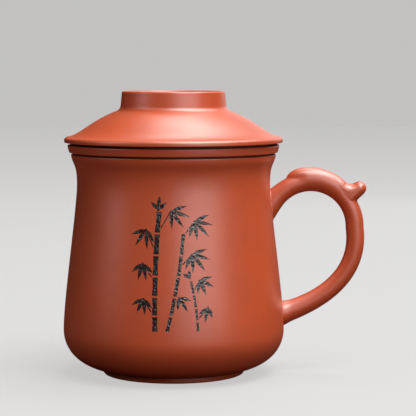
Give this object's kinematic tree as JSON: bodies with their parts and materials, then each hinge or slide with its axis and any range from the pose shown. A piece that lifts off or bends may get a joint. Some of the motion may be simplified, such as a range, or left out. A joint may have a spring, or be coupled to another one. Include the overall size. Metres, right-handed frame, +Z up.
{
  "type": "lidded tea mug with infuser",
  "caption": "Round-bellied unglazed clay mug with a loop handle and thumb curl, a lift-out infuser cup with a perforated floor, and a lift-off lid with a grip ring.",
  "frame": {"origin": "centre of the foot ring's lower face, on the table", "axes": "+Z up along the mug's axis, +X towards the handle, -Y towards the carved front"},
  "size_m": [0.1305, 0.0952, 0.1216],
  "materials": {
    "clay": "satin, unglazed and burnished",
    "inner_clay": "matt, unglazed",
    "ink": "satin"
  },
  "bodies": {
    "mug": {"mug_body": "clay", "foot_ring": "clay", "handle_loop": "clay", "handle_crest": "clay", "culm_inlay": "ink", "leaf_inlay": "ink"},
    "infuser": {"infuser_collar": "clay", "infuser_cup": "inner_clay", "strainer_floor": "inner_clay"},
    "lid": {"lid_cone": "clay", "lid_grip_ring": "clay", "lid_locating_ring": "inner_clay"}
  },
  "joints": [
    {"name": "infuser_lift", "type": "slide", "parent": "mug", "child": "infuser", "axis": [0, 0, 1], "range_m": [0, 0.08]},
    {"name": "lid_lift", "type": "slide", "parent": "infuser", "child": "lid", "axis": [0, 0, 1], "range_m": [0, 0.06]}
  ]
}
